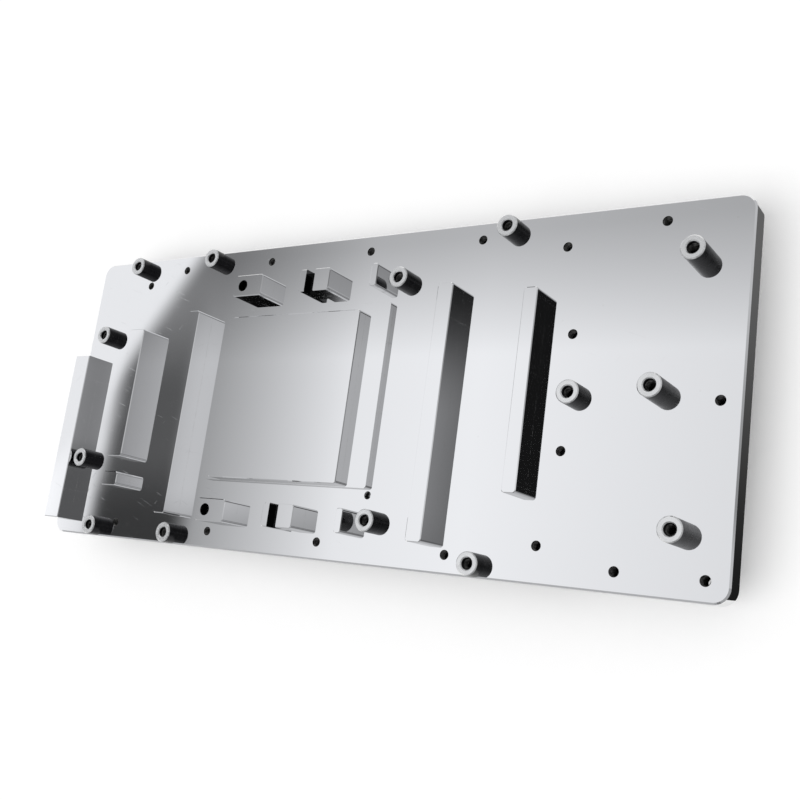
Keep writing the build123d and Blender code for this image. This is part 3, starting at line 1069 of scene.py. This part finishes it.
@dataclass
class Studio:
    """Floor, light, camera and the sky that the polished faces reflect.

    The sky's tone is the sweep along X times the rise across Y, read at the slopes of the view, with the
    cards laid over it. Its low rim fades between the first two values of low_sky to the share in the third.
    """

    camera_place: tuple = (0.20755, -0.06532, 0.27446)
    aim_place: tuple = (0.02464, -0.00231, 0.0162)
    camera_roll_degrees: float = 66.785
    focal_length_mm: float = 45.84
    sensor_mm: float = 36.0
    view_range: tuple = (0.01, 50.0)
    floor_size: float = 6.0
    floor_tint: tuple = (0.97, 0.97, 0.97, 1.0)
    floor_shade: tuple = (0.9603, 0.9603, 0.9603, 1.0)
    floor_patch: float = 0.4
    floor_roughness: float = 0.9
    floor_lift: float = 0.1
    floor_level: float = -0.0001
    floor_opening_margin: float = 0.0025
    sky_strength: float = 0.7
    key_strength: float = 1.0
    key_spread_degrees: float = 50.0
    key_tilt_degrees: tuple = (24.0, -18.0, 0.0)
    plating_brightness: float = 0.9
    card_tint: tuple = (0.98, 0.993, 1.02, 1.0)
    low_sky: tuple = (1.5, 3.2, 0.85)
    horizon: float = 0.02
    tone_power: float = 2.2
    rise_white: float = 1.25
    sweep_reach: float = 1.6
    sweep: tuple = (
        (-1.60, 235),
        (-1.34, 250),
        (-1.24, 219),
        (-1.20, 151),
        (-1.04, 151),
        (-0.78, 230),
        (-0.60, 237),
        (-0.30, 220),
        (0.30, 206),
        (0.60, 103),
        (0.74, 170),
        (1.056, 199),
        (1.283, 126),
        (1.60, 215),
    )
    rise_reach: float = 1.2
    rise: tuple = (
        (-0.60, 0.85),
        (-0.10, 0.82),
        (0.03, 1.00),
        (0.30, 1.00),
        (0.45, 0.75),
        (0.55, 0.73),
        (1.20, 1.00),
    )
    cards: tuple = (
        SoftCard("dark_stand", (-1.15, 0.10), (0.075, 0.25), (0.025, 0.10), 84),
        SoftCard("dark_stand_foot", (-1.14, 0.02), (0.09, 0.10), (0.03, 0.06), 58),
        SoftCard("bright_sheet", (-1.30, 0.46), (0.16, 0.30), (0.025, 0.05), 232, turn_degrees=-37.0),
        SoftCard("lower_shade", (-0.93, -0.40), (0.10, 0.10), (0.03, 0.05), 18),
        SoftCard("upper_corner", (0.60, 0.48), (0.10, 0.16), (0.05, 0.10), 30),
        SoftCard("right_foot", (0.95, -0.05), (0.50, 0.10), (0.10, 0.07), 95),
        SoftCard("end_bar_foot", (1.32, 0.06), (0.10, 0.10), (0.03, 0.03), 88),
        SoftCard("tail_bar_flag", (0.495, 0.25), (0.085, 0.34), (0.035, 0.08), 28),
    )
    floor_card_size: tuple = (0.08, 0.2)
    floor_card_gap: float = 0.0005
    floor_card_level: float = 0.0003
    floor_card_fade: float = 0.055
    floor_card_tones: tuple = (95.0, 26.0)

    def place_camera(self) -> None:
        """Put the camera at the photograph's viewing angle."""
        camera = bpy.data.objects.new("camera", bpy.data.cameras.new("camera"))
        bpy.context.scene.collection.objects.link(camera)
        camera.data.lens = self.focal_length_mm
        camera.data.sensor_width = self.sensor_mm
        camera.data.clip_start, camera.data.clip_end = self.view_range
        sight = Vector(self.aim_place) - Vector(self.camera_place)
        level = sight.to_track_quat("-Z", "Y")
        roll = Quaternion((0.0, 0.0, 1.0), math.radians(-self.camera_roll_degrees))
        turn = (level @ roll).to_matrix().to_4x4()
        camera.matrix_world = Matrix.Translation(self.camera_place) @ turn
        bpy.context.scene.camera = camera

    def lay_floor(self, shelf: EffectShelf) -> None:
        """Lay the pale floor, seen from above only, and the card on it.

        Args:
            shelf: The shared effects.
        """
        bpy.ops.mesh.primitive_plane_add(size=self.floor_size, location=(0.0, 0.0, self.floor_level))
        floor = bpy.context.active_object
        floor.name = "floor"
        self.open_floor()
        material = bpy.data.materials.new("pale_floor")
        material.use_nodes = True
        sketch = ShaderSketch(material.node_tree)
        shader = material.node_tree.nodes["Principled BSDF"]
        haze = shelf.use(sketch, Effect.POLISH_HAZE, size=self.floor_patch)
        colour = sketch.mix_colour(haze, self.floor_tint, self.floor_shade)
        sketch.feed(shader.inputs["Base Color"], colour)
        shader.inputs["Roughness"].default_value = self.floor_roughness
        shader.inputs["Specular IOR Level"].default_value = 0.0
        shader.inputs["Emission Color"].default_value = (1.0, 1.0, 1.0, 1.0)
        seen = sketch.add("ShaderNodeLightPath").outputs["Is Camera Ray"]
        lift = sketch.calc("MULTIPLY", seen, self.floor_lift)
        sketch.feed(shader.inputs["Emission Strength"], lift)
        clear = sketch.add("ShaderNodeBsdfTransparent")
        one_sided = sketch.add("ShaderNodeMixShader")
        sketch.feed(one_sided.inputs[0], sketch.add("ShaderNodeNewGeometry").outputs["Backfacing"])
        sketch.feed(one_sided.inputs[1], shader.outputs[0])
        sketch.feed(one_sided.inputs[2], clear.outputs[0])
        sketch.feed(material.node_tree.nodes["Material Output"].inputs["Surface"], one_sided.outputs[0])
        dress(floor, material)
        self.lay_floor_card()

    def open_floor(self) -> None:
        """Cut an opening in the floor where the cover hides it, so that light reaches the cover's back."""
        low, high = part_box("back_cover")
        inner = self.floor_size / 2
        length, width = (high[axis] - low[axis] - 2 * self.floor_opening_margin for axis in (0, 1))
        middle = ((low[0] + high[0]) / 2, (low[1] + high[1]) / 2, 0.0)
        bpy.ops.object.mode_set(mode="EDIT")
        bpy.ops.mesh.select_all(action="SELECT")
        bpy.ops.mesh.inset(thickness=(self.floor_size - inner) / 2)
        bpy.ops.transform.resize(value=(length / inner, width / inner, 1.0), center_override=(0.0, 0.0, 0.0))
        bpy.ops.transform.translate(value=middle)
        bpy.ops.mesh.delete(type="FACE")
        bpy.ops.object.mode_set(mode="OBJECT")

    def lay_floor_card(self) -> bpy.types.Object:
        """Lay a dark card beside the plate's tail end, which only shows in polished metal.

        Returns:
            The card.
        """
        _, high = cad_box
        length, width = self.floor_card_size
        place = (high[0] + self.floor_card_gap + length / 2, 0.0, self.floor_card_level)
        bpy.ops.mesh.primitive_plane_add(size=1.0, location=place)
        card = bpy.context.active_object
        card.name = "floor_card"
        card.scale = (length, width, 1.0)
        bpy.ops.object.transform_apply(location=True, rotation=False, scale=True)
        for ray in ("camera", "diffuse", "shadow", "transmission"):
            setattr(card, f"visible_{ray}", False)
        material = bpy.data.materials.new("floor_card")
        material.use_nodes = True
        material.node_tree.nodes.clear()
        sketch = ShaderSketch(material.node_tree)
        _, across, _ = sketch.parts(sketch.object_place())
        upper, lower = (linear_tone(tone) / self.plating_brightness for tone in self.floor_card_tones)
        glow = sketch.add("ShaderNodeEmission")
        fade = sketch.step(across, -self.floor_card_fade, self.floor_card_fade, lower, upper)
        sketch.feed(glow.inputs["Strength"], fade)
        end = sketch.add("ShaderNodeOutputMaterial")
        sketch.feed(end.inputs["Surface"], glow.outputs[0])
        dress(card, material)
        return card

    def hang_key_light(self) -> None:
        """Hang one broad lamp that gives the floor a soft shadow."""
        lamp = bpy.data.lights.new("key_light", "SUN")
        lamp.energy = self.key_strength
        lamp.angle = math.radians(self.key_spread_degrees)
        key = bpy.data.objects.new("key_light", lamp)
        key.rotation_euler = [math.radians(tilt) for tilt in self.key_tilt_degrees]
        key.visible_glossy = False
        bpy.context.scene.collection.objects.link(key)

    def tone_curve(
        self, sketch: ShaderSketch, value: Source, reach: float, stops: tuple, scale: float
    ) -> Socket:
        """Read a curve of listed stops.

        Args:
            sketch: The tree to work in.
            value: Where the curve is read, from minus reach to reach.
            reach: The largest value that has a stop.
            stops: Places and heights of the curve.
            scale: What a height of the ramp's full white stands for.

        Returns:
            The curve's height.
        """
        ramp = sketch.add("ShaderNodeValToRGB")
        share = sketch.calc("MULTIPLY_ADD", value, 0.5 / reach, 0.5)
        sketch.feed(ramp.inputs[0], share)
        marks = ramp.color_ramp.elements
        while len(marks) > 1:
            marks.remove(marks[-1])
        for number, (place, height) in enumerate(stops):
            position = 0.5 + 0.5 * place / reach
            mark = marks[0] if number == 0 else marks.new(position)
            mark.position = position
            mark.color = (height / scale, height / scale, height / scale, 1.0)
        height, _, _ = sketch.parts(ramp.outputs["Color"])
        return sketch.calc("MULTIPLY", height, scale)

    def light_world(self) -> None:
        """Light the scene evenly, and show polished metal the studio's cards."""
        world = bpy.data.worlds.new("studio")
        world.use_nodes = True
        world.cycles.sampling_method = "NONE"
        bpy.context.scene.world = world
        sketch = ShaderSketch(world.node_tree)
        x, y, z = sketch.parts(sketch.add("ShaderNodeTexCoord").outputs["Generated"])
        rise = sketch.calc("MAXIMUM", z, self.horizon)
        along = sketch.calc("DIVIDE", x, rise)
        across = sketch.calc("DIVIDE", y, rise)
        tone = sketch.calc(
            "MULTIPLY",
            self.tone_curve(sketch, along, self.sweep_reach, self.sweep, FULL_TONE),
            self.tone_curve(sketch, across, self.rise_reach, self.rise, self.rise_white),
        )
        for card in self.cards:
            tone = card.lay(sketch, tone, along, across)
        along_squared = sketch.calc("MULTIPLY", along, along)
        slope = sketch.calc("SQRT", sketch.calc("MULTIPLY_ADD", across, across, along_squared))
        low_start, low_end, low_share = self.low_sky
        tone = sketch.calc("MULTIPLY", tone, sketch.step(slope, low_start, low_end, 1.0, low_share))
        share = sketch.calc("DIVIDE", tone, FULL_TONE)
        light = sketch.calc("POWER", share, self.tone_power)
        mirrored = sketch.calc("DIVIDE", light, self.plating_brightness)
        path = sketch.add("ShaderNodeLightPath")
        polished = sketch.calc("MAXIMUM", path.outputs["Is Glossy Ray"], path.outputs["Is Transmission Ray"])
        strength = sketch.mix(path.outputs["Is Camera Ray"], self.sky_strength, 1.0)
        strength = sketch.mix(polished, strength, mirrored)
        background = world.node_tree.nodes["Background"]
        colour = sketch.mix_colour(polished, (1.0, 1.0, 1.0, 1.0), self.card_tint)
        sketch.feed(background.inputs["Color"], colour)
        sketch.feed(background.inputs["Strength"], strength)

    def build(self, shelf: EffectShelf) -> None:
        """Set up the camera, the floor, the lamp and the world.

        Args:
            shelf: The shared effects.
        """
        self.place_camera()
        self.lay_floor(shelf)
        self.hang_key_light()
        self.light_world()
        bpy.context.scene.view_settings.view_transform = "Standard"
        log.info("studio set up")


def main() -> None:
    """Build and dress everything in order."""
    logging.basicConfig(level=logging.INFO, format="%(message)s")
    shelf = EffectShelf()
    Studio().build(shelf)
    thread = ThreadCut().material(shelf)
    plate = Plate()
    plate.dress_nodes(shelf)
    plate.thread_holes(thread)
    cover = Cover()
    cover.dress_nodes(shelf)
    cover.thread_ports(cover.acetal.material(shelf))
    standoffs = Standoffs()
    standoffs.dress_nodes(shelf)
    standoffs.thread_bores(thread)


if __name__ == "__main__":
    main()
